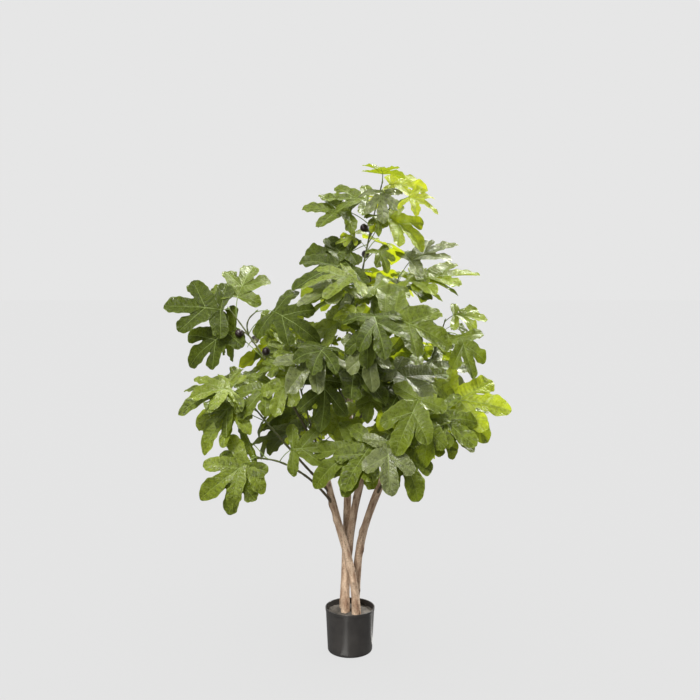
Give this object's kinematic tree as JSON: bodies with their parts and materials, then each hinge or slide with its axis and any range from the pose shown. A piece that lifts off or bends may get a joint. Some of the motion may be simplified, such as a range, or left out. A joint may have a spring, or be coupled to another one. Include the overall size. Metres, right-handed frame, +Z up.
{
  "type": "artificial fig tree in a pot",
  "caption": "Artificial fig tree with several bare wooden stems, thin boughs, large lobed leaves and a few figs, standing in a plain round plastic pot with a cast filling.",
  "frame": {"origin": "centre of the pot's flat underside", "axes": "+Z up, -Y towards the viewed side, +X to the viewer's right"},
  "size_m": [1.028, 0.8068, 1.4935],
  "materials": {
    "pot_plastic": "charcoal satin moulded plastic",
    "cast_filling": "rough grey-brown cast filling",
    "pole_wood": "peeled light brown wood with dark knots",
    "bough_plastic": "green-brown moulded plastic over wire",
    "leaf_fabric": "printed leaf cloth, dark to mid green, with dark purple plastic figs"
  },
  "bodies": {
    "root": {"bough_back_centre": "bough_plastic", "bough_back_high": "bough_plastic", "bough_back_left": "bough_plastic", "bough_back_low_left": "bough_plastic", "bough_back_low_right": "bough_plastic", "bough_back_right": "bough_plastic", "bough_centre_front": "bough_plastic", "bough_centre_left": "bough_plastic", "bough_centre_right": "bough_plastic", "bough_front_low": "bough_plastic", "bough_left_high": "bough_plastic", "bough_left_inner": "bough_plastic", "bough_left_low": "bough_plastic", "bough_left_mid": "bough_plastic", "bough_low_left": "bough_plastic", "bough_right_high": "bough_plastic", "bough_right_low": "bough_plastic", "bough_right_mid": "bough_plastic", "bough_top": "bough_plastic", "bough_upper_left": "bough_plastic", "bough_upper_right": "bough_plastic", "filling": "cast_filling", "leaves_back_centre": "leaf_fabric", "leaves_back_high": "leaf_fabric", "leaves_back_left": "leaf_fabric", "leaves_back_low_left": "leaf_fabric", "leaves_back_low_right": "leaf_fabric", "leaves_back_right": "leaf_fabric", "leaves_centre_front": "leaf_fabric", "leaves_centre_left": "leaf_fabric", "leaves_centre_right": "leaf_fabric", "leaves_front_low": "leaf_fabric", "leaves_left_high": "leaf_fabric", "leaves_left_inner": "leaf_fabric", "leaves_left_low": "leaf_fabric", "leaves_left_mid": "leaf_fabric", "leaves_low_left": "leaf_fabric", "leaves_right_high": "leaf_fabric", "leaves_right_low": "leaf_fabric", "leaves_right_mid": "leaf_fabric", "leaves_top": "leaf_fabric", "leaves_upper_left": "leaf_fabric", "leaves_upper_right": "leaf_fabric", "pot": "pot_plastic", "trunk_centre": "pole_wood", "trunk_left": "pole_wood", "trunk_middle": "pole_wood", "trunk_right": "pole_wood"}
  },
  "joints": []
}
